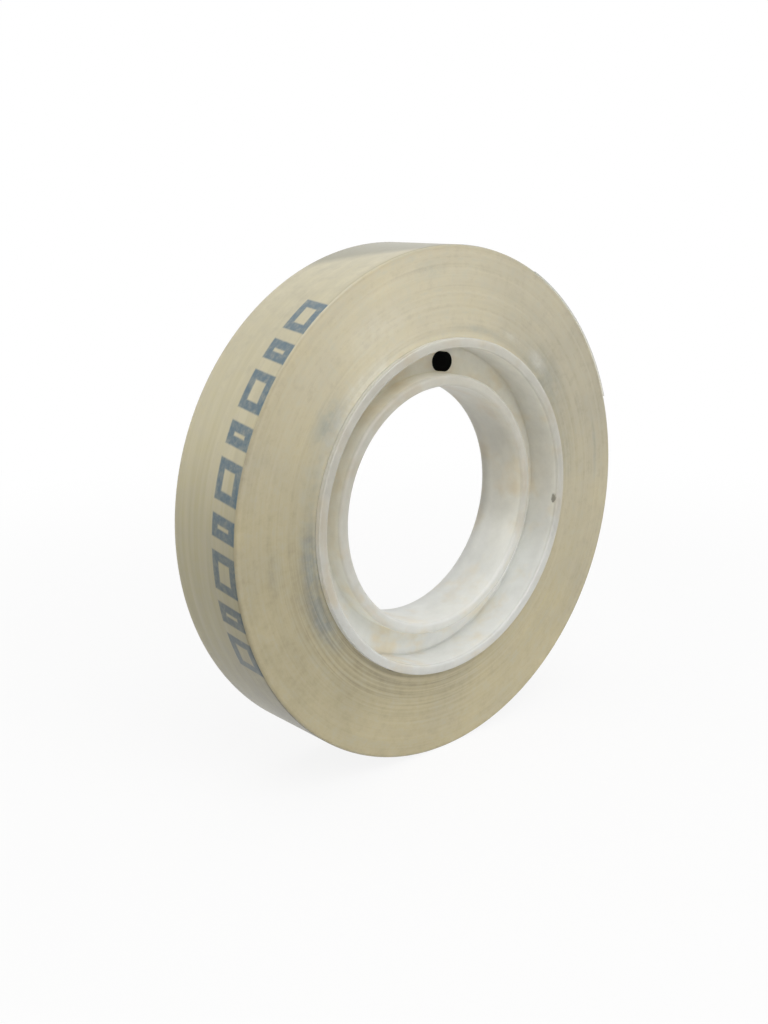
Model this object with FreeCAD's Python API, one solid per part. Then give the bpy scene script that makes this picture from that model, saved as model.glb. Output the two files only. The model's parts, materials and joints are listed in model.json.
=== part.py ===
"""Roll of clear office tape: a moulded core, the tape wound on it and the tape's free end.

Units are millimetres. The roll's axis is the Y axis, its front side faces -Y, and the origin
is the middle of the roll's width on that axis. The roll stands on its rim, with +Z up.
Angles about the axis are in degrees from +X towards +Z.
"""
import FreeCAD, Part
import os
from math import cos, degrees, radians, sin

# Tape
roll_radius = 27.0
tape_width = 10.0
tape_thickness = 0.05

# Core: a hub with the bore, a barrel that the tape is wound on, and a web across the channel
core_width = 11.2
bore_radius = 12.7
hub_wall = 1.2
channel_width = 2.9
barrel_wall = 1.0
hub_front_recess = 1.7
hub_rear_recess = 3.0
web_front_recess = 4.1
web_thickness = 1.6
rim_round = 0.2
lip_round = 0.35
web_fillet = 0.15

# Black index mark, let into the front of the web, with its height a share of the channel's width:
# how much longer than high it is, and how far its centre is moved from the channel's middle
dot_share = 0.724
dot_stretch = 0.8
dot_hub_offset = 0.32
dot_depth = 0.5
dot_angle = 81.5

# Free end of the tape: it lifts off the roll at the peel line and bends between its lengths
peel_angle = 62.0
end_length = 20.0
end_pieces = 6
end_clearance = 0.05
bend_gap = 0.04

# Derived sizes
tape_front = -tape_width / 2
tape_rear = tape_width / 2
core_front = -core_width / 2
core_rear = core_width / 2
hub_radius = bore_radius + hub_wall
barrel_inner_radius = hub_radius + channel_width
core_radius = barrel_inner_radius + barrel_wall
hub_front = core_front + hub_front_recess
hub_rear = core_rear - hub_rear_recess
web_front = core_front + web_front_recess
web_rear = web_front + web_thickness
dot_radius = dot_share * channel_width / 2
dot_centre_radius = hub_radius + channel_width / 2 - dot_hub_offset
end_inner_radius = roll_radius - tape_thickness
under_end_radius = end_inner_radius - end_clearance
piece_turn = degrees(end_length / roll_radius) / end_pieces
gap_turn = degrees(bend_gap / roll_radius)
free_edge_angle = peel_angle - end_pieces * piece_turn
last_angle = free_edge_angle + 360

# Arcs that make up the outermost turn, and how close an edge lies to where it is looked for
turn_arcs = 4
edge_tolerance = 1e-4


def polar(radius, angle):
    """Point at a radius and an angle about the roll's axis, in the plane y = 0."""
    turn = radians(angle)
    return FreeCAD.Vector(radius * cos(turn), 0, radius * sin(turn))


def cylinder(radius, start, end):
    """Cylinder about the roll's axis between two values of y."""
    base = FreeCAD.Vector(0, start, 0)
    return Part.makeCylinder(radius, end - start, base, FreeCAD.Vector(0, 1, 0))


def tube(outer_radius, inner_radius, start, end):
    """Round tube about the roll's axis between two values of y."""
    return cylinder(outer_radius, start, end).cut(cylinder(inner_radius, start, end))


def round_edge(shape, radius, y):
    """The shape's circular edge about the roll's axis at a radius and a y."""
    for edge in shape.Edges:
        curve = edge.Curve
        if not isinstance(curve, Part.Circle):
            continue
        misfit = (curve.Center - FreeCAD.Vector(0, y, 0)).Length + abs(curve.Radius - radius)
        if misfit < edge_tolerance:
            return edge
    raise ValueError(f"no round edge of radius {radius} at y {y}")


def rounded(shape, radius, edge_radii, edge_ys):
    """The shape with its round edges at every pair of the radii and ys rounded."""
    edges = [round_edge(shape, edge_radius, y) for edge_radius in edge_radii for y in edge_ys]
    return shape.makeFillet(radius, edges)


def plate(outline, start, end):
    """Solid of a closed outline of edges in the plane y = 0, moved to lie between two ys."""
    face = Part.Face(Part.Wire(outline))
    face.translate(FreeCAD.Vector(0, start, 0))
    return face.extrude(FreeCAD.Vector(0, end - start, 0))


def arc(start, middle, end):
    """Arc through three points."""
    return Part.Arc(start, middle, end).toShape()


def round_arc(radius, start, end):
    """Arc about the roll's axis between two angles."""
    return arc(polar(radius, start), polar(radius, (start + end) / 2), polar(radius, end))


def line(start, end):
    """Straight edge."""
    return Part.LineSegment(start, end).toShape()


def core():
    """Single moulding: barrel, hub and web, with the index mark's pocket in the web."""
    barrel = tube(core_radius, barrel_inner_radius, core_front, core_rear)
    hub = tube(hub_radius, bore_radius, hub_front, hub_rear)
    web = tube(barrel_inner_radius, hub_radius, web_front, web_rear)
    shape = barrel.fuse([web, hub]).removeSplitter()
    shape = rounded(shape, web_fillet, (hub_radius, barrel_inner_radius), (web_front, web_rear))
    shape = rounded(shape, rim_round, (barrel_inner_radius,), (core_front, core_rear))
    shape = rounded(shape, lip_round, (bore_radius, hub_radius), (hub_front, hub_rear))
    return shape.cut(index_dot())


def index_dot():
    """Black mark with round ends, along the channel and flush with the front of the web."""
    centre = polar(dot_centre_radius, dot_angle)
    outward = polar(dot_radius, dot_angle)
    along = polar(1, dot_angle + 90)
    ends = [centre + along * (side * dot_stretch / 2) for side in (-1, 1)]
    outline = [
        arc(ends[0] + outward, ends[0] - along * dot_radius, ends[0] - outward),
        line(ends[0] - outward, ends[1] - outward),
        arc(ends[1] - outward, ends[1] + along * dot_radius, ends[1] + outward),
        line(ends[1] + outward, ends[0] + outward),
    ]
    return plate(outline, web_front, web_front + dot_depth)


def turn_radius(angle):
    """Radius of the outermost turn, which grows by one tape thickness from edge to peel line."""
    return roll_radius - tape_thickness * (angle - peel_angle) / (last_angle - peel_angle)


def turn_point(angle):
    """Point on the outermost turn."""
    return polar(turn_radius(angle), angle)


def outermost_turn():
    """Arcs along the outermost turn, from the peel line round to the free edge."""
    arc_turn = (last_angle - peel_angle) / turn_arcs
    starts = [peel_angle + index * arc_turn for index in range(turn_arcs)]
    return [
        arc(turn_point(start), turn_point(start + arc_turn / 2), turn_point(start + arc_turn))
        for start in starts
    ]


def tape_winding():
    """All the wound turns, with a step down to the turn that the free end lies on."""
    outline = outermost_turn() + [
        line(turn_point(last_angle), polar(under_end_radius, last_angle)),
        round_arc(under_end_radius, free_edge_angle, peel_angle),
        line(polar(under_end_radius, peel_angle), turn_point(peel_angle)),
    ]
    return plate(outline, tape_front, tape_rear).cut(cylinder(core_radius, tape_front, tape_rear))


def tape_end(index):
    """One length of the free end, counted from the peel line."""
    start = peel_angle - index * piece_turn - gap_turn
    end = peel_angle - (index + 1) * piece_turn
    outline = [
        round_arc(roll_radius, start, end),
        line(polar(roll_radius, end), polar(end_inner_radius, end)),
        round_arc(end_inner_radius, end, start),
        line(polar(end_inner_radius, start), polar(roll_radius, start)),
    ]
    return plate(outline, tape_front, tape_rear)


def write(shape, node):
    """Write one node's solid as a STEP file."""
    if len(shape.Solids) != 1 or not shape.isValid():
        raise ValueError(f"{node} isn't one valid solid")
    shape.Solids[0].exportStep(f"parts/{node}.step")
    print(f"{node}: {shape.Volume:.3f} mm3")


def main():
    """Write every node, and print the hinge lines of the free end."""
    os.makedirs("parts", exist_ok=True)
    write(core(), "core")
    write(index_dot(), "index_dot")
    write(tape_winding(), "tape_winding")
    for index in range(end_pieces):
        write(tape_end(index), f"tape_end_{index + 1}")
        hinge = polar(roll_radius, peel_angle - index * piece_turn)
        print(f"hinge {index + 1}: x {hinge.x:.4f} z {hinge.z:.4f}")


main()
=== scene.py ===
"""Looks of a roll of clear office tape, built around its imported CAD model.

The roll's axis is Y, its front side faces -Y and it stands on its rim with +Z up. Angles about
the axis are in degrees from +X towards +Z. Lengths are in metres, and MM turns millimetres to
metres. Finishes work in millimetres, because the object's own coordinates are scaled first.
"""
from __future__ import annotations

import json
import logging
import math
from dataclasses import dataclass, field
from enum import Enum

import bmesh
import bpy
from mathutils import Matrix, Vector, noise


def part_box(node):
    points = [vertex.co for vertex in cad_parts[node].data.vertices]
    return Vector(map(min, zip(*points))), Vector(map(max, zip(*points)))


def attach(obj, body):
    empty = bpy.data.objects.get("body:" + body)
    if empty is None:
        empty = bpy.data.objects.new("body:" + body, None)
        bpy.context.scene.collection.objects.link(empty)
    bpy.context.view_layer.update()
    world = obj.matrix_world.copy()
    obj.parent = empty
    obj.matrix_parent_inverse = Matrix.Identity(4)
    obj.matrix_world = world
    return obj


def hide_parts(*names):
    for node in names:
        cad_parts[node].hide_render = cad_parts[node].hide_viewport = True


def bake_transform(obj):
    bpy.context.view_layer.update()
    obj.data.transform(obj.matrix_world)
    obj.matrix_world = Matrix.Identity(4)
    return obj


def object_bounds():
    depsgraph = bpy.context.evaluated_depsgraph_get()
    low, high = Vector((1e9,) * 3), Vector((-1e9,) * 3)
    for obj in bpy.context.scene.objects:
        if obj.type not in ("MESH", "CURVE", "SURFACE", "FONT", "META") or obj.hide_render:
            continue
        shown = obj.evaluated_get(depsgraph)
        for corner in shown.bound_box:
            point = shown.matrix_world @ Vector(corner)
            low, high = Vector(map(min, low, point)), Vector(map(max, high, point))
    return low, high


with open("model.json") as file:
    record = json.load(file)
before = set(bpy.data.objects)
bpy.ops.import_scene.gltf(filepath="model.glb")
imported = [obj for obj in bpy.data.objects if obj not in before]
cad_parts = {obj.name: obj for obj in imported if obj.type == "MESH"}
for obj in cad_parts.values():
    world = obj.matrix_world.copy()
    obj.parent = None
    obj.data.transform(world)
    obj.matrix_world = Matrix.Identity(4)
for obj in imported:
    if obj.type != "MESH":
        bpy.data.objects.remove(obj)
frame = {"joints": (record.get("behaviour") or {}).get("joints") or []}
cad_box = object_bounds()

MM = 0.001
FULL_TURN = 2 * math.pi
AXIS = Vector((0, 1, 0))
CENTRE = Vector((0, 0, 0))
WHITE = (1.0, 1.0, 1.0, 1.0)

Colour = tuple[float, float, float]
Tones = tuple[tuple[float, float], ...]
Socket = bpy.types.NodeSocket
Paint = float | Colour | Socket
log = logging.getLogger("tape_roll")


class Slot(Enum):
    """Material slots of the record."""

    CORE = "core_plastic"
    DOT = "dot_pigment"
    TAPE = "tape_film"


@dataclass(frozen=True)
class RollSizes:
    """Sizes that every sub-assembly shares, in metres and degrees."""

    radius: float
    half_width: float
    core_half_width: float
    core_radius: float
    end_joints: list[Vector]
    film: float = 0.05 * MM

    @classmethod
    def from_frame(cls) -> RollSizes:
        """Read the sizes from the CAD nodes and joints.

        Returns:
            The shared sizes.
        """
        core_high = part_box("core")[1]
        tape_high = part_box("tape_winding")[1]
        hinges = [Vector(joint["pos_m"]) for joint in frame["joints"]]
        return cls(hinges[0].length, tape_high.y, core_high.y, core_high.x, hinges)

    def hinge_angle(self, index: int) -> float:
        """Angle of a hinge of the free end about the roll's axis, in degrees."""
        place = self.end_joints[index]
        return math.degrees(math.atan2(place.z, place.x))

    @property
    def hinge_pitch(self) -> float:
        """Angle between two hinges of the free end, in degrees."""
        return self.hinge_angle(0) - self.hinge_angle(1)

    @property
    def free_edge_angle(self) -> float:
        """Angle of the tape's free edge, in degrees."""
        return self.hinge_angle(0) - len(self.end_joints) * self.hinge_pitch


class Graph:
    """The node tree of a material or a world, with short calls for what the finishes use."""

    def __init__(self, owner: bpy.types.Material | bpy.types.World) -> None:
        """Empty the owner's node tree.

        Args:
            owner: The material or world.
        """
        self.owner = owner
        owner.use_nodes = True
        self.tree = owner.node_tree
        self.tree.nodes.clear()

    @classmethod
    def of_material(cls, name: str) -> Graph:
        """The graph of a new material of this name."""
        return cls(bpy.data.materials.new(name))

    def node(self, kind: str, inputs: dict | None = None, **settings) -> bpy.types.Node:
        """Add a node.

        Args:
            kind: The node's type, without its ShaderNode prefix.
            inputs: Values or sockets by input name or number.
            settings: The node's own settings.

        Returns:
            The new node.
        """
        made = self.tree.nodes.new("ShaderNode" + kind)
        for key, value in settings.items():
            setattr(made, key, value)
        for key, value in (inputs or {}).items():
            if isinstance(value, bpy.types.NodeSocket):
                self.tree.links.new(value, made.inputs[key])
            else:
                made.inputs[key].default_value = value
        return made

    def math(self, operation: str, *values: float | Socket) -> Socket:
        """Result of a Math node."""
        return self.node("Math", dict(enumerate(values)), operation=operation).outputs[0]

    def total(self, *values: float | Socket) -> Socket:
        """Sum of several values.

        Returns:
            The sum.
        """
        result = values[0]
        for value in values[1:]:
            result = self.math("ADD", result, value)
        return result

    def vector(self, x: float | Socket, y: float | Socket, z: float | Socket) -> Socket:
        """Vector of three values."""
        return self.node("CombineXYZ", {0: x, 1: y, 2: z}).outputs[0]

    def mix(self, factor: Socket, first: Paint, second: Paint) -> Socket:
        """Mix of two colours.

        Args:
            factor: 0 for the first colour, 1 for the second.
            first: A grey, a linear colour or a socket.
            second: A grey, a linear colour or a socket.

        Returns:
            The mixed colour.
        """
        colours = [self.as_colour(value) for value in (first, second)]
        made = self.node("Mix", {0: factor, 6: colours[0], 7: colours[1]}, data_type="RGBA")
        return made.outputs[2]

    @staticmethod
    def as_colour(value: Paint) -> tuple[float, ...] | Socket:
        """Colour with its alpha, from a grey or a colour; a socket stays as it is.

        Args:
            value: A grey, a linear colour or a socket.

        Returns:
            What a Mix node's colour input takes.
        """
        if isinstance(value, float):
            return (value, value, value, 1.0)
        return (*value, 1.0) if isinstance(value, tuple) else value

    def smooth(
        self, value: Socket, start: float, end: float, low: float = 0.0, high: float = 1.0
    ) -> Socket:
        """Smooth step of a value.

        Args:
            value: The value to map.
            start: Value at which the result is low.
            end: Value at which the result is high.
            low: Result before the start.
            high: Result after the end.

        Returns:
            The mapped value.
        """
        inputs = {0: value, 1: start, 2: end, 3: low, 4: high}
        return self.node("MapRange", inputs, interpolation_type="SMOOTHSTEP").outputs[0]

    def noise(
        self, vector: Socket, scale: float, detail: float = 2.0, roughness: float = 0.5
    ) -> Socket:
        """Noise from 0 to 1 with a mean of about a half."""
        inputs = {"Vector": vector, "Scale": scale, "Detail": detail, "Roughness": roughness}
        return self.node("TexNoise", inputs).outputs["Fac"]

    def spread(self, value: Socket, amount: float) -> Socket:
        """Noise moved to a mean of 0 and scaled."""
        return self.math("MULTIPLY", self.math("SUBTRACT", value, 0.5), amount)

    def tone(self, angle: Socket, stops: Tones) -> Socket:
        """Tone at an angle about the roll, eased between stops and joined up after a full turn.

        Args:
            angle: The angle in degrees, from 0 to 360.
            stops: Angles in degrees, rising from 0, each with its tone.

        Returns:
            The tone.
        """
        share = self.math("DIVIDE", angle, 360.0)
        ramp = self.node("ValToRGB", {0: share})
        ramp.color_ramp.interpolation = "B_SPLINE"
        elements = ramp.color_ramp.elements
        first = stops[0][1] / 2
        elements[0].color = elements[1].color = (first, first, first, 1.0)
        for place, value in stops[1:]:
            elements.new(place / 360).color = (value / 2, value / 2, value / 2, 1.0)
        return self.math("MULTIPLY", ramp.outputs[0], 2.0)

    def shade(self, colour: Socket, tone: Socket) -> Socket:
        """A colour multiplied by a tone."""
        return self.node("VectorMath", {0: colour, "Scale": tone}, operation="SCALE").outputs[0]

    def length(self, vector: Socket) -> Socket:
        """Length of a vector."""
        return self.node("VectorMath", {0: vector}, operation="LENGTH").outputs["Value"]

    def clamp(self, value: Socket) -> Socket:
        """A value held between 0 and 1."""
        return self.math("MINIMUM", self.math("MAXIMUM", value, 0.0), 1.0)

    def bump(self, height: Socket, distance: float, strength: float = 1.0) -> Socket:
        """Normal of a height that runs from 0 to 1 over a distance in metres."""
        inputs = {"Height": height, "Distance": distance, "Strength": strength}
        return self.node("Bump", inputs).outputs["Normal"]

    def seen_directly(self) -> Socket:
        """1 on the rays that show the background itself, 0 on the rays that light the roll.

        Returns:
            0 or 1, by the kind of ray.
        """
        rays = self.node("LightPath").outputs
        clear = self.math("MAXIMUM", rays["Is Camera Ray"], rays["Is Transmission Ray"])
        return self.math("MAXIMUM", clear, rays["Is Glossy Ray"])

    def finish(self, shader: bpy.types.Node) -> bpy.types.Material | bpy.types.World:
        """Wire a shader to the output and return the owner.

        Args:
            shader: The node of the whole surface or sky.

        Returns:
            The material or world.
        """
        is_world = isinstance(self.owner, bpy.types.World)
        output = self.node("OutputWorld" if is_world else "OutputMaterial")
        self.tree.links.new(shader.outputs[0], output.inputs["Surface"])
        return self.owner


@dataclass(frozen=True)
class RollPlace:
    """Where a point of the roll lies, as sockets in millimetres and degrees."""

    point: Socket
    x: Socket
    across: Socket
    up: Socket
    radius: Socket
    angle: Socket
    turned: Socket

    @classmethod
    def of(cls, graph: Graph) -> RollPlace:
        """Add the nodes that work out the place.

        Args:
            graph: The material that needs the place.

        Returns:
            The sockets.
        """
        coordinates = graph.node("TexCoord").outputs["Object"]
        scaled = graph.node("VectorMath", {0: coordinates, "Scale": 1 / MM}, operation="SCALE")
        point = scaled.outputs[0]
        x, across, up = graph.node("SeparateXYZ", {0: point}).outputs[:3]
        flat = graph.vector(x, 0.0, up)
        radius = graph.length(flat)
        degrees = graph.math("DEGREES", graph.math("ARCTAN2", up, x))
        angle = graph.math("WRAP", degrees, 360.0, 0.0)
        unit = graph.node("VectorMath", {0: flat}, operation="NORMALIZE").outputs[0]
        return cls(point, x, across, up, radius, angle, unit)

    def rings(
        self, graph: Graph, pitch: float, wander: float, along: Socket | None = None
    ) -> Socket:
        """Noise in rings about the roll's axis that fade in and out on the way round.

        Args:
            graph: The material that gets the nodes.
            pitch: Width of a ring in millimetres.
            wander: How much the rings change round the roll.
            along: What the rings follow: the radius, unless it is given.

        Returns:
            The noise.
        """
        follow = graph.math("DIVIDE", self.radius if along is None else along, pitch)
        cosine, _, sine = graph.node("SeparateXYZ", {0: self.turned}).outputs[:3]
        turned = [graph.math("MULTIPLY", part, wander) for part in (cosine, sine)]
        return graph.noise(graph.vector(follow, *turned), 1.0, 2.0)


@dataclass(frozen=True)
class Smudge:
    """A patch on the wound side: greyer where air lies between the turns, and paler in some places, which
    are partly painted sheen.
    """

    x: float
    z: float
    length: float
    width: float
    strength: float


@dataclass(frozen=True)
class SidePatterns:
    """Noise patterns that the wound side's colour, tone and relief share, each from 0 to 1."""

    fine: Socket
    coarse: Socket
    cloud: Socket
    mottle: Socket


@dataclass(frozen=True)
class WoundSideFinish:
    """Edges of several hundred turns of film: cream, slightly milky, with fine rings."""

    core_radius: float
    roll_radius: float
    light: Colour = (0.560, 0.510, 0.372)
    yellow: Colour = (0.490, 0.430, 0.268)
    grey: Colour = (0.345, 0.352, 0.300)
    # Tone by angle: partly the colour of the side itself, partly painted light and shade as the light
    # falls round the roll.
    tones_and_painted_light: Tones = (
        (0.0, 0.92),
        (20.0, 0.79),
        (45.0, 0.89),
        (70.0, 0.97),
        (95.0, 1.10),
        (120.0, 1.11),
        (145.0, 1.00),
        (165.0, 0.90),
        (190.0, 0.80),
        (215.0, 0.86),
        (240.0, 0.95),
        (265.0, 1.00),
        (290.0, 1.05),
        (320.0, 0.94),
    )
    smudges: tuple[Smudge, ...] = (
        Smudge(-15.6, 11.0, 4.0, 2.6, 0.80),
        Smudge(-16.8, 6.0, 9.0, 3.4, 0.42),
        Smudge(-18.4, -1.8, 5.5, 1.8, 0.85),
        Smudge(-17.4, -5.0, 9.0, 3.2, 0.40),
        Smudge(-17.2, -8.4, 5.5, 1.6, 0.85),
        Smudge(14.2, 12.4, 7.5, 4.0, 0.62),
        Smudge(18.6, 3.0, 6.0, 2.4, 0.30),
        Smudge(4.0, 18.4, 5.0, 0.5, 0.45),
        Smudge(-3.0, 24.6, 3.2, 1.3, 0.40),
        Smudge(24.0, 3.4, 5.0, 0.5, 0.45),
        Smudge(-22.6, -2.0, 3.0, 1.2, 0.30),
    )
    fine_pitch: float = 0.26
    coarse_pitch: float = 0.9
    cloud_scale: float = 0.16
    mottle_scale: float = 0.8
    edge_painted_shade: float = 0.20
    rim_painted_light: float = 0.16
    core_loss: float = 0.15
    low_left_angle: float = 235.0
    # Paler patches: partly the colour of the side itself, partly painted sheen near the rim on the upper
    # right.
    pale_and_sheen: Colour = (0.640, 0.625, 0.540)
    pale_and_sheen_places: tuple[Smudge, ...] = (
        Smudge(13.4, 14.2, 2.6, 1.2, 0.80),
        Smudge(9.0, 17.2, 2.6, 0.6, 0.50),
        Smudge(-10.0, 19.0, 6.0, 3.0, 0.25),
        Smudge(-12.4, 13.6, 12.0, 1.4, 0.60),
    )

    def smudged(self, graph: Graph, place: RollPlace, smudges: tuple[Smudge, ...]) -> Socket:
        """Total strength of some smudges at a place, from 0 to 1.

        Args:
            graph: The material that gets the nodes.
            place: The place on the roll.
            smudges: The smudges to add up.

        Returns:
            The strength, patchy within each smudge.
        """
        result: float | Socket = 0.0
        cloud = graph.noise(place.point, 0.9, 3.0, 0.6)
        for smudge in smudges:
            centre = Vector((smudge.x, smudge.z))
            outward = graph.math("SUBTRACT", place.radius, centre.length)
            radial = graph.math("DIVIDE", outward, smudge.width)
            towards = math.degrees(math.atan2(smudge.z, smudge.x)) % 360
            turn = graph.math("SUBTRACT", place.angle, towards)
            near_turn = graph.math("WRAP", turn, 180.0, -180.0)
            degrees_long = math.degrees(smudge.length / centre.length)
            away = graph.math("DIVIDE", near_turn, degrees_long)
            distance = graph.length(graph.vector(radial, away, 0.0))
            shape = graph.smooth(distance, 1.0, 0.1, 0.0, smudge.strength)
            result = graph.math("ADD", result, shape)
        return graph.math("MULTIPLY", result, graph.smooth(cloud, 0.30, 0.62, 0.35, 1.0))

    def colour(self, graph: Graph, place: RollPlace, patterns: SidePatterns) -> Socket:
        """Cream that is yellower and darker low down and on the left, partly as painted shade, with grey
        streaks and smudges.

        Args:
            graph: The material that gets the nodes.
            place: The place on the roll.
            patterns: The noise patterns of the side.

        Returns:
            The colour before its tone.
        """
        # Yellower and darker low down and on the left: partly the colour of the film itself, partly
        # painted shade from light falling from above.
        low = graph.smooth(place.up, 20.0, -24.0)
        left = graph.smooth(place.x, -8.0, -24.0, 0.0, 0.5)
        clouds = graph.spread(patterns.cloud, 1.3)
        coarse = graph.spread(patterns.coarse, 0.5)
        yellow_and_shade_share = graph.clamp(graph.total(low, left, clouds, coarse))
        colour = graph.mix(yellow_and_shade_share, self.light, self.yellow)
        streak = graph.total(graph.spread(patterns.fine, 0.7), coarse, graph.spread(patterns.mottle, 1.8))
        colour = graph.mix(graph.math("MAXIMUM", streak, 0.0), colour, self.grey)
        colour = graph.mix(self.smudged(graph, place, self.smudges), colour, self.grey)
        # Paler patches, partly painted sheen.
        return graph.mix(self.smudged(graph, place, self.pale_and_sheen_places), colour, self.pale_and_sheen)

    def tone(self, graph: Graph, place: RollPlace, patterns: SidePatterns) -> Socket:
        """Tone by angle, partly painted light and shade, darker at the outer edge as painted shade,
        lighter beside the rim as painted light, and darker beside the core on the lower left.

        Args:
            graph: The material that gets the nodes.
            place: The place on the roll.
            patterns: The noise patterns of the side.

        Returns:
            What the colour is multiplied by.
        """
        core, edge = self.core_radius, self.roll_radius
        off_low_left = graph.math("ABSOLUTE", graph.math("SUBTRACT", place.angle, self.low_left_angle))
        lower_left = graph.smooth(off_low_left, 75.0, 25.0)
        beside_core = graph.smooth(place.radius, core + 6.2, core + 0.7, 0.0, -self.core_loss)
        near_core = graph.math("MULTIPLY", beside_core, lower_left)
        # Darker at the outer edge: painted shade against the highlight on the rounded edge.
        edge_shade = graph.smooth(place.radius, edge - 0.4, edge - 0.05, 0.0, -self.edge_painted_shade)
        # Lighter beside the rim, except low down: painted light against the shadow of the rim.
        beside_rim = graph.smooth(place.radius, core + 0.7, core + 0.1, 0.0, self.rim_painted_light)
        rim_light = graph.math("MULTIPLY", beside_rim, graph.smooth(place.up, -12.0, -6.0))
        lines = graph.math("MULTIPLY_ADD", graph.math("ABSOLUTE", near_core), 5.0, 0.22)
        streaks = graph.math("MULTIPLY", graph.spread(patterns.fine, 1.0), lines)
        by_angle = graph.tone(place.angle, self.tones_and_painted_light)
        grain = graph.total(graph.spread(patterns.cloud, 0.34), graph.spread(patterns.mottle, 0.5))
        return graph.total(by_angle, near_core, edge_shade, rim_light, streaks, grain)

    def material(self) -> bpy.types.Material:
        """Make the finish.

        Returns:
            The material.
        """
        graph = Graph.of_material("wound_side")
        place = RollPlace.of(graph)
        patterns = SidePatterns(
            fine=place.rings(graph, self.fine_pitch, 1.2),
            coarse=place.rings(graph, self.coarse_pitch, 0.9),
            cloud=graph.noise(place.point, self.cloud_scale, 3.0),
            mottle=graph.noise(place.point, self.mottle_scale, 5.0, 0.7),
        )
        colour = self.colour(graph, place, patterns)
        height = graph.total(graph.spread(patterns.fine, 1.0), graph.spread(patterns.coarse, 1.2))
        shader = graph.node(
            "BsdfPrincipled",
            {
                "Base Color": graph.shade(colour, self.tone(graph, place, patterns)),
                "Roughness": 0.42,
                "Subsurface Weight": 0.25,
                "Subsurface Radius": (1.0, 0.85, 0.5),
                "Subsurface Scale": 1.2 * MM,
                "Coat Weight": 0.15,
                "Coat Roughness": 0.3,
                "Normal": graph.bump(height, 0.02 * MM, 0.8),
            },
        )
        return graph.finish(shader)


@dataclass(frozen=True)
class PrintRow:
    """Plain slanted boxes and bars, printed by turns along the tape beside its front edge."""

    roll_radius: float
    ink: Colour = (0.072, 0.138, 0.190)
    # Darker ink for the lower part of the row: painted shade.
    shaded_ink: Colour = (0.030, 0.058, 0.068)
    middle: float = -3.2
    half_height: float = 1.75
    first_angle: float = 124.5
    last_angle: float = 206.4
    repeat: float = 120.0
    pitch: float = 9.1
    slant: float = 0.3
    stroke: float = 0.92
    box_half: float = 1.92
    bar_half: float = 1.10
    blur: float = 0.12

    def inside(
        self, graph: Graph, along: Socket, across: Socket, half_length: Socket, inset: float
    ) -> Socket:
        """Share of a place that lies within a box, drawn in from its edges by an inset.

        Args:
            graph: The material that gets the nodes.
            along: Distance from the middle of the box along the tape.
            across: Distance from it across the tape.
            half_length: Half the box's length.
            inset: How far its edges are drawn in.

        Returns:
            1 inside, 0 outside, eased over the blur.
        """
        spare_along = graph.math("SUBTRACT", half_length, graph.math("ADD", along, inset))
        spare_across = graph.math("SUBTRACT", self.half_height - inset, across)
        spare = graph.math("MINIMUM", spare_along, spare_across)
        return graph.smooth(spare, -self.blur, self.blur)

    def mask(self, graph: Graph, place: RollPlace) -> Socket:
        """Share of ink at a place.

        Args:
            graph: The material that gets the nodes.
            place: The place on the roll.

        Returns:
            0 for bare film, 1 for full ink.
        """
        off_middle = graph.math("SUBTRACT", place.across, self.middle)
        leaned = graph.math("MULTIPLY_ADD", off_middle, self.slant, place.angle)
        run = graph.math("WRAP", leaned, self.first_angle + self.repeat, self.first_angle)
        steps = graph.math("DIVIDE", graph.math("SUBTRACT", run, self.first_angle), self.pitch)
        length_per_step = math.radians(self.pitch) * self.roll_radius
        offset = graph.math("SUBTRACT", graph.math("FRACT", steps), 0.5)
        along = graph.math("MULTIPLY", graph.math("ABSOLUTE", offset), length_per_step)
        across = graph.math("ABSOLUTE", off_middle)
        pair_share = graph.math("FRACT", graph.math("MULTIPLY", steps, 0.5))
        is_bar = graph.math("GREATER_THAN", pair_share, 0.5)
        half_length = graph.math("MULTIPLY_ADD", is_bar, self.bar_half - self.box_half, self.box_half)
        whole = self.inside(graph, along, across, half_length, 0.0)
        hollow = self.inside(graph, along, across, half_length, self.stroke)
        drawn = graph.math("MULTIPLY", whole, graph.math("SUBTRACT", 1.0, hollow))
        printed = graph.math("MULTIPLY", drawn, graph.math("LESS_THAN", run, self.last_angle))
        worn = graph.smooth(graph.noise(place.point, 1.6, 4.0, 0.7), 0.25, 0.62, 0.62, 0.92)
        return graph.math("MULTIPLY", printed, worn)


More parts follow.
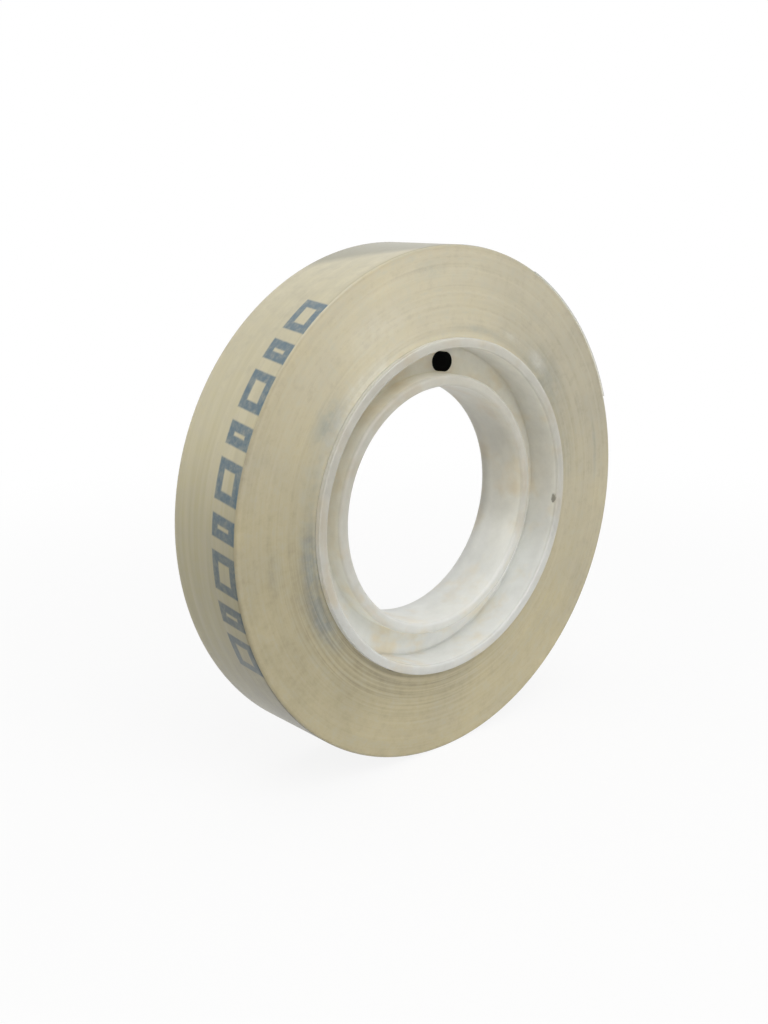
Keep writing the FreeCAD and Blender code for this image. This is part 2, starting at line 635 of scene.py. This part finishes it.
@dataclass(frozen=True)
class FilmSurfaceFinish:
    """Outside of the roll: glossy clear film over the cream turns, with fine lines along it."""

    half_width: float
    printed: PrintRow
    light: Colour = (0.590, 0.540, 0.375)
    dark: Colour = (0.412, 0.368, 0.202)
    # Colour of the painted shade band near the top.
    dark_band_colour: Colour = (0.250, 0.240, 0.175)
    dark_band_slant: float = 1.4
    edge_painted_shade: float = 0.20
    # Tone by angle: painted light and shade as the light falls round the roll, darkest low on the left
    # where the film faces down.
    tones_and_painted_light: Tones = (
        (0.0, 0.90),
        (70.0, 0.90),
        (100.0, 0.86),
        (118.0, 0.95),
        (134.0, 0.90),
        (150.0, 1.02),
        (163.0, 1.03),
        (175.0, 0.82),
        (198.0, 0.72),
        (214.0, 0.46),
        (230.0, 0.34),
        (266.0, 0.72),
    )
    line_pitch: float = 0.12
    band_pitch: float = 0.9
    mottle_scale: float = 0.6

    def painted_dark_band(self, graph: Graph, place: RollPlace) -> Socket:
        """Share of the darker band near the top: painted shade, a dark reflection where the film turns
        away.

        Args:
            graph: The material that gets the nodes.
            place: The place on the roll.

        Returns:
            0 outside the band, up to 0.8 within it.
        """
        leaned = graph.math("MULTIPLY_ADD", place.across, -self.dark_band_slant, place.angle)
        strength = graph.smooth(leaned, 109.0, 103.0, 0.0, 0.8)
        return graph.math("MULTIPLY", strength, graph.smooth(leaned, 76.0, 82.0))

    def material(self) -> bpy.types.Material:
        """Make the finish.

        Returns:
            The material.
        """
        graph = Graph.of_material("film_surface")
        place = RollPlace.of(graph)
        lines = place.rings(graph, self.line_pitch, 1.5, place.across)
        bands = place.rings(graph, self.band_pitch, 1.4, place.across)
        mottle = graph.noise(place.point, self.mottle_scale, 5.0, 0.7)
        # Darker on the lower half, and there lighter towards the back and darker towards the front:
        # painted shade where the film faces down.
        falling = graph.smooth(place.angle, 140.0, 215.0)
        low_painted_shade = graph.math("MULTIPLY", falling, graph.smooth(place.angle, 355.0, 280.0))
        grain = graph.total(graph.spread(lines, 0.7), graph.spread(bands, 1.0), graph.spread(mottle, 1.4))
        colour = graph.mix(graph.clamp(graph.math("ADD", low_painted_shade, grain)), self.light, self.dark)
        by_front = graph.smooth(place.across, 4.0, -4.0, 0.10, -0.05)
        front_painted_shade = graph.math("MULTIPLY", low_painted_shade, by_front)
        front = -self.half_width
        # Darker at the front edge: painted shade against the highlight on the rounded edge.
        edge_shade = graph.smooth(place.across, front + 0.4, front + 0.05, 0.0, -self.edge_painted_shade)
        tone = graph.total(graph.tone(place.angle, self.tones_and_painted_light), front_painted_shade, edge_shade)
        tone = graph.total(tone, graph.spread(mottle, 0.5), graph.spread(lines, 0.2))
        # Painted shade: the dark band near the top.
        colour = graph.mix(self.painted_dark_band(graph, place), graph.shade(colour, tone), self.dark_band_colour)
        # Ink darker further down the roll: painted shade, as on the film beneath.
        ink_shade_share = graph.smooth(place.angle, 158.0, 196.0)
        ink = graph.mix(ink_shade_share, self.printed.ink, self.printed.shaded_ink)
        colour = graph.mix(self.printed.mask(graph, place), colour, ink)
        height = graph.total(graph.spread(lines, 1.0), graph.spread(bands, 1.6))
        shader = graph.node(
            "BsdfPrincipled",
            {
                "Base Color": colour,
                "Roughness": 0.40,
                "Subsurface Weight": 0.2,
                "Subsurface Radius": (1.0, 0.85, 0.5),
                "Subsurface Scale": 1.0 * MM,
                "Specular IOR Level": 0.35,
                "Coat Weight": 0.25,
                "Coat Roughness": 0.2,
                "Normal": graph.bump(height, 0.015 * MM, 0.6),
            },
        )
        return graph.finish(shader)


@dataclass(frozen=True)
class ClearFilmFinish:
    """One thickness of clear film, as at the free end."""

    tint: Colour = (0.93, 0.91, 0.82)
    line_tint: Colour = (0.86, 0.84, 0.74)
    line_pitch: float = 0.15

    def material(self) -> bpy.types.Material:
        """Make the finish.

        Returns:
            The material.
        """
        graph = Graph.of_material("clear_film")
        place = RollPlace.of(graph)
        lines = place.rings(graph, self.line_pitch, 1.5, place.across)
        colour = graph.mix(lines, self.tint, self.line_tint)
        shader = graph.node(
            "BsdfPrincipled",
            {
                "Base Color": colour,
                "Roughness": 0.12,
                "IOR": 1.49,
                "Transmission Weight": 0.9,
                "Normal": graph.bump(lines, 0.006 * MM, 0.5),
            },
        )
        return graph.finish(shader)


@dataclass(frozen=True)
class CorePlasticFinish:
    """Injection-moulded white plastic, slightly milky, with faint flow marks."""

    bore_radius: float
    hub_radius: float
    wall_radius: float
    hub_front: float
    rim_front: float
    base: Colour = (0.720, 0.703, 0.625)
    clean: Colour = (0.690, 0.698, 0.665)
    stained: Colour = (0.640, 0.570, 0.440)
    # Tone by angle: painted light and shade, lighter on the lower half and darker on the upper half.
    tones_and_painted_light: Tones = (
        (0.0, 0.81),
        (30.0, 0.78),
        (70.0, 0.87),
        (100.0, 0.84),
        (140.0, 0.77),
        (165.0, 0.76),
        (190.0, 0.86),
        (220.0, 0.98),
        (250.0, 1.04),
        (290.0, 1.05),
        (326.0, 1.02),
        (334.0, 1.00),
        (342.0, 0.80),
    )
    margin: float = 0.2
    hub_margin: float = 0.1
    lip_painted_shade: float = 0.84
    hub_lip_painted_shade: float = 0.885
    channel_painted_light: float = 1.24
    hub_painted_light: float = 1.26
    low_wall_painted_light: float = 1.12
    bore_tone: float = 1.00
    lit_bore_tone: float = 1.24
    lit_angle: float = 352.0
    nick: tuple[float, float, float] = (16.8, -5.1, -1.8)
    nick_squeeze: tuple[float, float, float] = (1.0, 1.15, 0.72)
    nicked: Colour = (0.20, 0.19, 0.16)
    cloud_scale: float = 0.22
    grain_scale: float = 7.0
    dirt_scale: float = 0.55
    mark_pitch: float = 0.8

    def painted_light_by_depth(self, graph: Graph, place: RollPlace) -> Socket:
        """Tone with painted light and shade: greyer on the lips as painted shade against their highlight,
        lighter in the channel and on the hub as painted light in their shadow, with a painted highlight
        in the bore.

        Args:
            graph: The material that gets the nodes.
            place: The place on the roll.

        Returns:
            What the colour is multiplied by.
        """
        on_hub = graph.math("LESS_THAN", place.radius, self.hub_radius + self.hub_margin)
        front = graph.math("MULTIPLY_ADD", on_hub, self.hub_front - self.rim_front, self.rim_front)
        depth = graph.math("SUBTRACT", place.across, front)
        at_front_lip = graph.smooth(depth, 0.5, 0.1)
        at_lip = graph.math("MAXIMUM", at_front_lip, graph.smooth(place.across, 0.8, 2.2))
        # Lighter in the channel and on the hub: painted light in their shadow.
        inner = graph.math("MULTIPLY_ADD", on_hub, self.hub_painted_light - self.channel_painted_light, self.channel_painted_light)
        # Lighter towards the right: painted light.
        inner = graph.math("MULTIPLY", inner, graph.smooth(place.x, -16.0, 16.0, 0.96, 1.09))
        in_bore = graph.math("LESS_THAN", place.radius, self.bore_radius + self.margin)
        # Brighter bore near the lit angle: painted highlight.
        turn = graph.math("SUBTRACT", place.angle, self.lit_angle)
        off_light = graph.math("ABSOLUTE", graph.math("WRAP", turn, 180.0, -180.0))
        bore_tone = graph.smooth(off_light, 36.0, 12.0, self.bore_tone, self.lit_bore_tone)
        inner = graph.mix(in_bore, inner, bore_tone)
        # Lower inner wall of the barrel, which faces the light: painted light, less than in the channel.
        on_wall = graph.math("GREATER_THAN", place.radius, self.wall_radius - self.margin)
        wall_low = graph.math("MULTIPLY", on_wall, graph.smooth(place.up, -2.0, -9.0))
        inner = graph.mix(wall_low, inner, self.low_wall_painted_light)
        # Greyer lips: painted shade against their highlight.
        lip_painted_shade = graph.math("MULTIPLY_ADD", on_hub, self.hub_lip_painted_shade - self.lip_painted_shade, self.lip_painted_shade)
        return graph.mix(at_lip, inner, lip_painted_shade)

    def fleck(self, graph: Graph, place: RollPlace) -> Socket:
        """Strength of the dark nick inside the rim.

        Args:
            graph: The material that gets the nodes.
            place: The place on the roll.

        Returns:
            0 for clean plastic, up to 0.85 for the nick.
        """
        offset = graph.node("VectorMath", {0: place.point, 1: self.nick}, operation="SUBTRACT")
        squeezed = {0: offset.outputs[0], 1: self.nick_squeeze}
        away = graph.length(graph.node("VectorMath", squeezed, operation="MULTIPLY").outputs[0])
        rough = graph.spread(graph.noise(place.point, 3.0, 2.0), 0.5)
        return graph.smooth(graph.math("ADD", away, rough), 0.48, 0.26, 0.0, 0.85)

    def material(self) -> bpy.types.Material:
        """Make the finish.

        Returns:
            The material.
        """
        graph = Graph.of_material("core_plastic")
        place = RollPlace.of(graph)
        cloud = graph.noise(place.point, self.cloud_scale, 3.0, 0.6)
        grain = graph.noise(place.point, self.grain_scale, 2.0)
        dirt = graph.noise(place.point, self.dirt_scale, 4.0, 0.65)
        marks = place.rings(graph, self.mark_pitch, 2.0)
        amount = graph.smooth(graph.total(cloud, graph.spread(marks, 0.3)), 0.44, 0.72, 0.0, 0.75)
        colour = graph.mix(graph.smooth(place.up, 2.0, -11.0), self.base, self.clean)
        colour = graph.mix(amount, colour, self.stained)
        patches = graph.total(graph.spread(cloud, 0.18), graph.spread(dirt, 0.22))
        patches = graph.math("ADD", patches, graph.spread(marks, 0.08))
        tone = graph.math("ADD", graph.tone(place.angle, self.tones_and_painted_light), patches)
        tone = graph.math("MULTIPLY", tone, self.painted_light_by_depth(graph, place))
        colour = graph.mix(self.fleck(graph, place), graph.shade(colour, tone), self.nicked)
        height = graph.total(graph.spread(grain, 0.5), graph.spread(marks, 1.0))
        shader = graph.node(
            "BsdfPrincipled",
            {
                "Base Color": colour,
                "Roughness": 0.40,
                "Subsurface Weight": 0.85,
                "Subsurface Radius": (1.0, 0.97, 0.90),
                "Subsurface Scale": 3.0 * MM,
                "Normal": graph.bump(height, 0.02 * MM, 0.5),
            },
        )
        return graph.finish(shader)


@dataclass(frozen=True)
class HoleShadeFinish:
    """Matt black that stands in for the dark seen through the index hole: painted shade."""

    base: Colour = (0.0015, 0.0015, 0.0015)
    speck: Colour = (0.003, 0.003, 0.003)
    grain_scale: float = 9.0

    def material(self) -> bpy.types.Material:
        """Make the finish.

        Returns:
            The material.
        """
        graph = Graph.of_material("dot_pigment")
        place = RollPlace.of(graph)
        grain = graph.noise(place.point, self.grain_scale, 3.0)
        colour = graph.mix(grain, self.base, self.speck)
        shader = graph.node(
            "BsdfPrincipled",
            {
                "Base Color": colour,
                "Roughness": 0.9,
                "Specular IOR Level": 0.05,
                "Normal": graph.bump(grain, 0.02 * MM, 0.6),
            },
        )
        return graph.finish(shader)


@dataclass(frozen=True)
class FloorFinish:
    """White floor that fades into the white background and keeps the roll's shadow."""

    base: Colour = (0.82, 0.82, 0.82)
    speck: Colour = (0.84, 0.84, 0.84)
    grain_scale: float = 400.0
    shown: float = 0.12
    fade_start: float = 60.0
    fade_end: float = 160.0

    def material(self) -> bpy.types.Material:
        """Make the finish.

        Returns:
            The material.
        """
        graph = Graph.of_material("floor_white")
        point = graph.node("TexCoord").outputs["Object"]
        grain = graph.noise(point, self.grain_scale, 2.0)
        colour = graph.mix(grain, self.base, self.speck)
        surface = graph.node("BsdfDiffuse", {"Color": colour})
        glow = graph.node("Emission", {"Color": WHITE, "Strength": 1.0})
        distance = graph.length(point)
        faded = graph.smooth(distance, self.fade_start * MM, self.fade_end * MM, 1 - self.shown, 1.0)
        factor = graph.math("MULTIPLY", graph.seen_directly(), faded)
        shaders = {0: factor, 1: surface.outputs[0], 2: glow.outputs[0]}
        return graph.finish(graph.node("MixShader", shaders))


@dataclass
class Lathe:
    """A closed profile in radius and y that is turned about the roll's axis."""

    corners: list[tuple[float, float]]
    rounds: dict[float, list[int]] = field(default_factory=dict)
    steps: int = 192
    round_steps: int = 5

    def profile(self) -> bmesh.types.BMesh:
        """Make the profile's outline with its corners rounded.

        Returns:
            A mesh of edges in the plane z = 0.
        """
        mesh = bmesh.new()
        verts = [mesh.verts.new((radius, y, 0)) for radius, y in self.corners]
        mesh.faces.new(verts)
        for radius, indices in self.rounds.items():
            bmesh.ops.bevel(
                mesh,
                geom=[verts[index] for index in indices],
                offset=radius,
                offset_type="OFFSET",
                segments=self.round_steps,
                profile=0.5,
                affect="VERTICES",
                clamp_overlap=True,
                material=-1,
            )
        bmesh.ops.delete(mesh, geom=mesh.faces[:], context="FACES_ONLY")
        return mesh

    def turn(self, mesh: bmesh.types.BMesh) -> None:
        """Turn a profile all the way round and close it.

        Args:
            mesh: The profile, which becomes the closed shape.
        """
        bmesh.ops.spin(
            mesh,
            geom=mesh.verts[:] + mesh.edges[:],
            cent=CENTRE,
            axis=AXIS,
            dvec=(0, 0, 0),
            angle=FULL_TURN,
            steps=self.steps,
            use_merge=True,
            use_normal_flip=False,
            use_duplicate=False,
        )
        bmesh.ops.remove_doubles(mesh, verts=mesh.verts[:], dist=0.0005 * MM)
        bmesh.ops.recalc_face_normals(mesh, faces=mesh.faces[:])


def as_piece(mesh: bmesh.types.BMesh, name: str, sharp_angle: float = 35.0) -> bpy.types.Object:
    """Turn a bmesh into a smooth-shaded object at the origin.

    Args:
        mesh: The geometry, which is freed.
        name: The piece's name.
        sharp_angle: Edges sharper than this stay sharp, in degrees.

    Returns:
        The object, linked to the scene.
    """
    data = bpy.data.meshes.new(name)
    mesh.to_mesh(data)
    mesh.free()
    data.shade_smooth()
    data.set_sharp_from_angle(angle=math.radians(sharp_angle))
    piece = bpy.data.objects.new(name, data)
    bpy.context.scene.collection.objects.link(piece)
    return piece


def dress(piece: bpy.types.Object, slot: Slot, *materials: bpy.types.Material) -> None:
    """Give a piece its materials.

    Args:
        piece: The piece.
        slot: Its slot; not used.
        materials: Its materials, in the order of its faces' indices.
    """
    for material in materials:
        piece.data.materials.append(material)


def polar(radius: float, angle: float, y: float = 0.0) -> Vector:
    """Point at a radius and an angle in degrees about the roll's axis."""
    turn = math.radians(angle)
    return Vector((radius * math.cos(turn), y, radius * math.sin(turn)))


@dataclass
class MouldedCore:
    """The core: a barrel, a hub with the bore and a web across the channel between them."""

    sizes: RollSizes
    bore_radius: float = 12.7 * MM
    hub_wall: float = 1.2 * MM
    barrel_wall: float = 1.0 * MM
    hub_front_recess: float = 1.7 * MM
    hub_rear_recess: float = 3.0 * MM
    web_front_recess: float = 4.1 * MM
    web_thickness: float = 1.6 * MM
    rim_round: float = 0.2 * MM
    lip_round: float = 0.35 * MM
    web_fillet: float = 0.15 * MM
    outer_round: float = 0.12 * MM

    def build(self) -> bpy.types.Object:
        """Build, dress and place the core.

        Returns:
            The piece.
        """
        front, rear = -self.sizes.core_half_width, self.sizes.core_half_width
        outer = self.sizes.core_radius
        inner = outer - self.barrel_wall
        hub = self.bore_radius + self.hub_wall
        hub_front, hub_rear = front + self.hub_front_recess, rear - self.hub_rear_recess
        web_front = front + self.web_front_recess
        web_rear = web_front + self.web_thickness
        corners = [
            (outer, front),
            (outer, rear),
            (inner, rear),
            (inner, web_rear),
            (hub, web_rear),
            (hub, hub_rear),
            (self.bore_radius, hub_rear),
            (self.bore_radius, hub_front),
            (hub, hub_front),
            (hub, web_front),
            (inner, web_front),
            (inner, front),
        ]
        rounds = {
            self.web_fillet: [3, 4, 9, 10],
            self.rim_round: [2, 11],
            self.lip_round: [5, 6, 7, 8],
            self.outer_round: [0, 1],
        }
        lathe = Lathe(corners, rounds)
        mesh = lathe.profile()
        lathe.turn(mesh)
        piece = as_piece(mesh, "moulded_core")
        ends = [length / MM for length in (self.bore_radius, hub, inner, hub_front, front)]
        dress(piece, Slot.CORE, CorePlasticFinish(*ends).material())
        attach(piece, "roll")
        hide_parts("core")
        return piece


@dataclass
class IndexHoleShadeFill:
    """Black fill in the index hole in the channel, longer than it is high, with worn round edges: painted
    shade that stands in for the dark seen through the hole.
    """

    height: float = 2.2 * MM
    stretch: float = 0.8 * MM
    proud: float = 0.03 * MM
    edge_round: float = 0.12 * MM
    steps: int = 50

    def build(self) -> bpy.types.Object:
        """Build, dress and place the fill.

        Returns:
            The piece.
        """
        low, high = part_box("index_dot")
        middle = (low + high) / 2
        along = middle.cross(AXIS)
        along.y = 0
        along.normalize()
        mesh = bmesh.new()
        bmesh.ops.create_circle(mesh, cap_ends=True, segments=self.steps, radius=self.height / 2)
        bmesh.ops.rotate(mesh, verts=mesh.verts[:], cent=CENTRE, matrix=turn_to(AXIS))
        for vert in mesh.verts:
            vert.co += along * math.copysign(self.stretch / 2, vert.co.dot(along))
        bmesh.ops.translate(mesh, verts=mesh.verts[:], vec=(middle.x, high.y, middle.z))
        made = bmesh.ops.extrude_face_region(mesh, geom=mesh.faces[:])
        front = [item for item in made["geom"] if isinstance(item, bmesh.types.BMVert)]
        bmesh.ops.translate(mesh, verts=front, vec=-AXIS * (high.y - low.y + self.proud))
        rim = [edge for edge in mesh.edges if all(vert.co.y < low.y for vert in edge.verts)]
        bmesh.ops.bevel(
            mesh,
            geom=rim,
            offset=self.edge_round,
            offset_type="OFFSET",
            segments=4,
            profile=0.5,
            affect="EDGES",
            clamp_overlap=True,
            material=-1,
        )
        bmesh.ops.recalc_face_normals(mesh, faces=mesh.faces[:])
        piece = as_piece(mesh, "index_hole_painted_shade")
        dress(piece, Slot.DOT, HoleShadeFinish().material())
        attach(piece, "roll")
        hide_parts("index_dot")
        return piece


def turn_to(direction: Vector) -> Matrix:
    """Rotation that turns +Z, along which flat shapes are made, to a direction."""
    return Vector((0, 0, 1)).rotation_difference(direction).to_matrix()


@dataclass
class WoundTape:
    """All the wound turns, with uneven edges on both sides and the outermost turn's step."""

    sizes: RollSizes
    side_rings: int = 110
    outer_rings: int = 20
    steps: int = 288
    edge_round: float = 0.22 * MM
    unevenness: float = 0.035 * MM
    ring_waves: float = 2.6
    step_waves: float = 0.6
    noise_place: tuple[float, float] = (7.3, 0.5)
    step_place: tuple[float, float] = (3.1, 4.5)
    end_clearance: float = 0.05 * MM
    slit_angles: tuple[float, ...] = (244.0, 259.0)
    slit_depth: float = 0.16 * MM
    slit_reach: float = 4.5

    def outer_radius(self, angle: float) -> float:
        """Radius of the outermost turn at an angle in degrees, with the step for the free end.

        Args:
            angle: The angle about the roll's axis.

        Returns:
            The radius in metres.
        """
        peel = self.sizes.hinge_angle(0)
        edge = self.sizes.free_edge_angle
        if edge < angle < peel:
            return self.sizes.radius - self.sizes.film - self.end_clearance
        grown = (angle - peel) % 360 / (360 + edge - peel)
        return self.sizes.radius - self.sizes.film * grown

    def slit(self, angle: float) -> float:
        """How far the innermost turn stands off the core at an angle in degrees."""
        away = min(abs(angle - place) for place in self.slit_angles) / self.slit_reach
        return self.slit_depth * max(0.0, 1 - away * away)

    def profile(self) -> bmesh.types.BMesh:
        """Make the outline of the wound turns with uneven sides.

        Returns:
            A mesh of edges in the plane z = 0.
        """
        half, inner, outer = self.sizes.half_width, self.sizes.core_radius, self.sizes.radius
        corners = [(inner, -half), (outer, -half), (outer, half), (inner, half)]
        lathe = Lathe(corners, {self.edge_round: [1, 2]})
        lathe.round_steps = 3
        mesh = lathe.profile()
        reach = outer - inner
        sides = [
            edge
            for edge in mesh.edges
            if edge.calc_length() > reach * 0.9 and edge.verts[0].co.y == edge.verts[1].co.y
        ]
        bmesh.ops.subdivide_edges(mesh, edges=sides, cuts=self.side_rings)
        across = [edge for edge in mesh.edges if edge.calc_length() > half]
        bmesh.ops.subdivide_edges(mesh, edges=across, cuts=self.outer_rings)
        for vert in mesh.verts:
            depth = min(vert.co.x - inner, outer - vert.co.x) / reach
            if depth <= 0.01:
                continue
            side = math.copysign(1.0, vert.co.y)
            wave = self.side_noise(vert, side, self.ring_waves, self.noise_place)
            step = self.side_noise(vert, side, self.step_waves, self.step_place)
            vert.co.y -= side * self.unevenness * (0.6 + 0.8 * wave + 1.2 * step)
        return mesh

    @staticmethod
    def side_noise(
        vert: bmesh.types.BMVert, side: float, waves: float, place: tuple[float, float]
    ) -> float:
        """Noise from -1 to 1 along the radius, other on each side, with its place in the noise."""
        return noise.noise(Vector((vert.co.x / MM * waves, side * place[0], place[1])))

    def shape(self, mesh: bmesh.types.BMesh) -> None:
        """Give the turned mesh its outermost turn and the slits beside the core.

        Args:
            mesh: The turned profile.
        """
        inner, outer = self.sizes.core_radius, self.sizes.radius
        for vert in mesh.verts:
            radius = math.hypot(vert.co.x, vert.co.z)
            angle = math.degrees(math.atan2(vert.co.z, vert.co.x)) % 360
            if radius > outer - 2 * self.edge_round:
                scale = 1 + (self.outer_radius(angle) - outer) / radius
            elif radius < inner + 0.05 * MM:
                scale = 1 + self.slit(angle) / radius
            else:
                continue
            vert.co.x *= scale
            vert.co.z *= scale

    def build(self) -> bpy.types.Object:
        """Build, dress and place the wound turns.

        Returns:
            The piece.
        """
        mesh = self.profile()
        Lathe([], steps=self.steps).turn(mesh)
        self.shape(mesh)
        bmesh.ops.recalc_face_normals(mesh, faces=mesh.faces[:])
        inner = self.sizes.core_radius
        for face in mesh.faces:
            outside = abs(face.normal.y) < 0.7 and face.calc_center_median().length > inner * 1.2
            face.material_index = int(outside)
        piece = as_piece(mesh, "wound_tape", 50.0)
        radius = self.sizes.radius / MM
        side = WoundSideFinish(inner / MM, radius).material()
        outside_film = FilmSurfaceFinish(self.sizes.half_width / MM, PrintRow(radius)).material()
        dress(piece, Slot.TAPE, side, outside_film)
        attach(piece, "roll")
        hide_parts("tape_winding")
        return piece


@dataclass
class FreeEnd:
    """The free end of the tape: film that lies on the roll, in one piece across each hinge line."""

    sizes: RollSizes
    steps_per_length: int = 12
    across_steps: int = 10
    bend_share: float = 0.36

    def strip(self, name: str, start: float, end: float) -> bpy.types.Object:
        """A stretch of film between two angles.

        Args:
            name: The piece's name.
            start: Angle nearer the peel line, in degrees.
            end: Angle nearer the free edge, in degrees.

        Returns:
            The piece, bent round the roll and as thick as the film.
        """
        mesh = bmesh.new()
        steps = max(4, round((start - end) / self.sizes.hinge_pitch * self.steps_per_length))
        bmesh.ops.create_grid(mesh, x_segments=steps, y_segments=self.across_steps, size=0.5)
        for vert in mesh.verts:
            angle = start + (end - start) * (vert.co.x + 0.5)
            vert.co = polar(self.sizes.radius, angle, vert.co.y * 2 * self.sizes.half_width)
        bmesh.ops.recalc_face_normals(mesh, faces=mesh.faces[:])
        for face in mesh.faces:
            middle = face.calc_center_median()
            if face.normal.dot(Vector((middle.x, 0, middle.z))) < 0:
                face.normal_flip()
        bmesh.ops.solidify(mesh, geom=mesh.faces[:], thickness=self.sizes.film)
        return as_piece(mesh, name, 60.0)

    def build(self) -> list[bpy.types.Object]:
        """Build, dress and place the film, one piece across each hinge line.

        Returns:
            The pieces.
        """
        film = ClearFilmFinish().material()
        pitch = self.sizes.hinge_pitch
        count = len(frame["joints"])
        made = []
        for index, joint in enumerate(frame["joints"]):
            hinge = self.sizes.hinge_angle(index)
            start = hinge if index == 0 else hinge + pitch / 2
            end = hinge - (pitch if index == count - 1 else pitch / 2)
            piece = self.strip(f"free_end_{index + 1}", start, end)
            dress(piece, Slot.TAPE, film)
            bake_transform(piece)
            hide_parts(f"tape_end_{index + 1}")
            made.append(piece)
        return made


@dataclass
class Studio:
    """Pale floor, soft lamps, white background and the camera."""

    sizes: RollSizes
    azimuth: float = -43.2
    elevation: float = 14.39
    distance: float = 124.9 * MM
    lens: float = 40.8
    shift_x: float = -0.0319
    shift_y: float = -0.0119
    floor_reach: float = 1.5
    clip_start: float = 5 * MM
    sky: float = 0.38
    sky_colour: tuple[float, ...] = (1.0, 0.995, 0.98, 1.0)
    lamp_size: float = 0.5
    key_place: tuple[float, ...] = (-0.10, -0.40, 0.48)
    key_power: float = 2.6
    fill_place: tuple[float, ...] = (-0.10, 0.10, 0.62)
    fill_power: float = 1.0

    def floor(self) -> None:
        """Lay the floor under the roll."""
        mesh = bmesh.new()
        bmesh.ops.create_circle(mesh, cap_ends=True, segments=64, radius=self.floor_reach)
        bmesh.ops.translate(mesh, verts=mesh.verts[:], vec=(0, 0, cad_box[0].z))
        piece = as_piece(mesh, "floor")
        piece.data.materials.append(FloorFinish().material())

    def sky_light(self) -> None:
        """Even light from all round, and a white background where it is seen directly."""
        world = bpy.data.worlds.new("studio")
        bpy.context.scene.world = world
        graph = Graph(world)
        light = graph.node("Background", {"Color": self.sky_colour, "Strength": self.sky})
        seen = graph.node("Background", {"Color": WHITE, "Strength": 1.0})
        factor = graph.seen_directly()
        graph.finish(graph.node("MixShader", {0: factor, 1: light.outputs[0], 2: seen.outputs[0]}))

    def lamp(self, name: str, place: Vector, power: float) -> None:
        """Add a soft square lamp that points at the roll.

        Args:
            name: The lamp's name.
            place: Where it hangs, in metres.
            power: Its power in watts.
        """
        data = bpy.data.lights.new(name, "AREA")
        data.size = self.lamp_size
        data.energy = power
        lamp = bpy.data.objects.new(name, data)
        lamp.location = place
        lamp.rotation_mode = "QUATERNION"
        lamp.rotation_quaternion = (-place).to_track_quat("-Z", "Y")
        bpy.context.scene.collection.objects.link(lamp)

    def camera(self) -> None:
        """Set up the camera at the front left, a little above the roll's middle."""
        turn, rise = math.radians(self.azimuth), math.radians(self.elevation)
        level = math.cos(rise)
        back = Vector((math.sin(turn) * level, -math.cos(turn) * level, math.sin(rise)))
        data = bpy.data.cameras.new("camera")
        data.lens = self.lens
        data.shift_x = self.shift_x
        data.shift_y = self.shift_y
        data.clip_start = self.clip_start
        camera = bpy.data.objects.new("camera", data)
        camera.location = back * self.distance
        camera.rotation_mode = "QUATERNION"
        camera.rotation_quaternion = (-back).to_track_quat("-Z", "Y")
        bpy.context.scene.collection.objects.link(camera)
        bpy.context.scene.camera = camera

    def build(self) -> None:
        """Set up the whole studio."""
        bpy.context.scene.view_settings.view_transform = "Standard"
        self.floor()
        self.sky_light()
        self.lamp("key", Vector(self.key_place), self.key_power)
        self.lamp("fill", Vector(self.fill_place), self.fill_power)
        self.camera()


def main() -> None:
    """Build every sub-assembly in order and report each piece."""
    logging.basicConfig(level=logging.INFO, format="%(name)s: %(message)s")
    sizes = RollSizes.from_frame()
    Studio(sizes).build()
    pieces = [MouldedCore(sizes).build(), IndexHoleShadeFill().build(), WoundTape(sizes).build()]
    pieces += FreeEnd(sizes).build()
    for piece in pieces:
        log.info("%s: %d faces", piece.name, len(piece.data.polygons))


if __name__ == "__main__":
    main()
